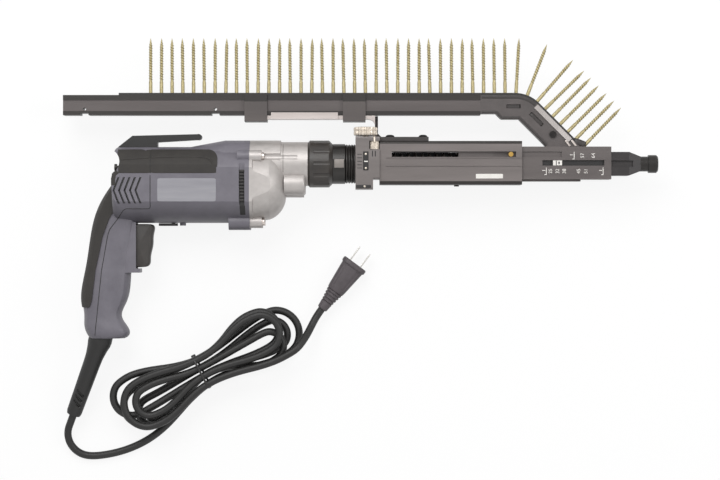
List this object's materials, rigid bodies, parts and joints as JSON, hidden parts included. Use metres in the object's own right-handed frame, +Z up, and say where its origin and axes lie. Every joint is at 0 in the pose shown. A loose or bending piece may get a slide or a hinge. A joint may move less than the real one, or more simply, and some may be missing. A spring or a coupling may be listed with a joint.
{
  "type": "collated screw gun",
  "caption": "Corded pistol-grip screw driver with a spring-loaded auto-feed nose, a magazine rail above it, a loaded screw strip and a tied cord.",
  "frame": {"origin": "middle of the tool's box on the surface it lies on, cord left out", "axes": "+X towards the nose, +Y from the grip towards the magazine, +Z up from the surface the tool lies on"},
  "size_m": [0.5964, 0.4242, 0.068],
  "materials": {
    "housing_plastic": "satin",
    "overmould_rubber": "matte",
    "black_plastic": "satin",
    "collar_plastic": "satin",
    "cast_alloy": "satin",
    "extruded_alloy": "satin",
    "slide_alloy": "satin",
    "plated_steel": "satin",
    "hardened_steel": "satin",
    "coated_steel": "satin",
    "yellow_brass": "satin",
    "cord_rubber": "matte",
    "plug_rubber": "matte"
  },
  "bodies": {
    "tool": {"motor_housing": "housing_plastic", "rear_cover": "housing_plastic", "grip_overmould": "overmould_rubber", "side_bands": "overmould_rubber", "belt_hook": "black_plastic", "adapter_sleeve": "black_plastic", "brush_holders": "black_plastic", "switch_body": "black_plastic", "gear_case": "cast_alloy", "gear_plate": "cast_alloy", "outer_housing": "extruded_alloy", "clamp_block": "extruded_alloy", "rear_clip": "extruded_alloy", "front_clip": "extruded_alloy", "magazine_bar": "plated_steel", "magazine_bracket": "plated_steel", "bracket_screws": "plated_steel", "cover_screws": "plated_steel", "belt_hook_screw": "plated_steel", "gear_case_screws": "plated_steel", "lock_nut": "plated_steel", "depth_index": "plated_steel", "field_stack": "hardened_steel", "rear_bearing": "hardened_steel", "front_bearing": "hardened_steel", "spindle_bearing": "hardened_steel", "return_spring": "hardened_steel", "plug_blades": "yellow_brass", "strain_relief": "cord_rubber", "cord_lead": "cord_rubber", "cord_hank": "cord_rubber", "cord_tail": "cord_rubber", "cord_tie": "cord_rubber", "plug_body": "plug_rubber"},
    "trigger": {"trigger": "black_plastic"},
    "reverse_lever": {"reverse_lever": "black_plastic"},
    "lock_button": {"lock_button": "black_plastic"},
    "rotor": {"armature": "hardened_steel", "commutator": "yellow_brass", "cooling_fan": "black_plastic", "motor_pinion": "hardened_steel"},
    "spindle": {"spindle": "hardened_steel", "spindle_gear": "hardened_steel", "drive_bit": "hardened_steel"},
    "nose_collar": {"nose_collar": "collar_plastic"},
    "feed_slide": {"feed_slide": "slide_alloy", "travel_pins": "yellow_brass", "magazine_rail": "extruded_alloy", "front_guide": "slide_alloy", "guide_cover": "plated_steel", "sprocket_axle": "plated_steel", "collation_strip": "black_plastic", "collated_screws": "coated_steel"},
    "nosepiece": {"nosepiece": "slide_alloy", "length_pointer": "plated_steel", "nose_tip": "black_plastic"},
    "clamp_thumbwheel": {"clamp_thumbwheel": "plated_steel"},
    "feed_sprocket": {"feed_sprocket": "plated_steel"}
  },
  "joints": [
    {"name": "trigger_pull", "type": "slide", "parent": "tool", "child": "trigger", "axis": [-1, 0, 0], "range_m": [0, 0.007], "stiffness_N_per_m": 1200},
    {"name": "reverse_swing", "type": "hinge", "parent": "tool", "child": "reverse_lever", "pos_m": [-0.18725, -0.03492, 0.034], "axis": [0, 1, 0], "range_deg": [-12, 12]},
    {"name": "lock_press", "type": "slide", "parent": "tool", "child": "lock_button", "axis": [0, 0, 1], "range_m": [0, 0.003], "stiffness_N_per_m": 600},
    {"name": "rotor_spin", "type": "hinge", "parent": "tool", "child": "rotor", "pos_m": [-0.11025, 0.00308, 0.034], "axis": [1, 0, 0], "continuous": true},
    {"name": "spindle_spin", "type": "hinge", "parent": "tool", "child": "spindle", "pos_m": [-0.11025, 0.02407, 0.034], "axis": [1, 0, 0], "continuous": true},
    {"name": "collar_turn", "type": "hinge", "parent": "tool", "child": "nose_collar", "pos_m": [-0.04025, 0.02407, 0.034], "axis": [1, 0, 0], "continuous": true},
    {"name": "feed_travel", "type": "slide", "parent": "tool", "child": "feed_slide", "axis": [-1, 0, 0], "range_m": [0, 0.055], "stiffness_N_per_m": 400, "deforming": ["return_spring"]},
    {"name": "nose_extend", "type": "slide", "parent": "feed_slide", "child": "nosepiece", "axis": [1, 0, 0], "range_m": [0, 0.03]},
    {"name": "clamp_turn", "type": "hinge", "parent": "tool", "child": "clamp_thumbwheel", "pos_m": [0.00483, 0.05208, 0.042], "axis": [0, 1, 0], "continuous": true},
    {"name": "sprocket_turn", "type": "hinge", "parent": "feed_slide", "child": "feed_sprocket", "pos_m": [0.19151, 0.05336, 0.034], "axis": [0, 0, 1], "continuous": true}
  ],
  "couplings": [
    {"joint": "spindle_spin", "follows": "rotor_spin", "ratio": -0.25}
  ]
}
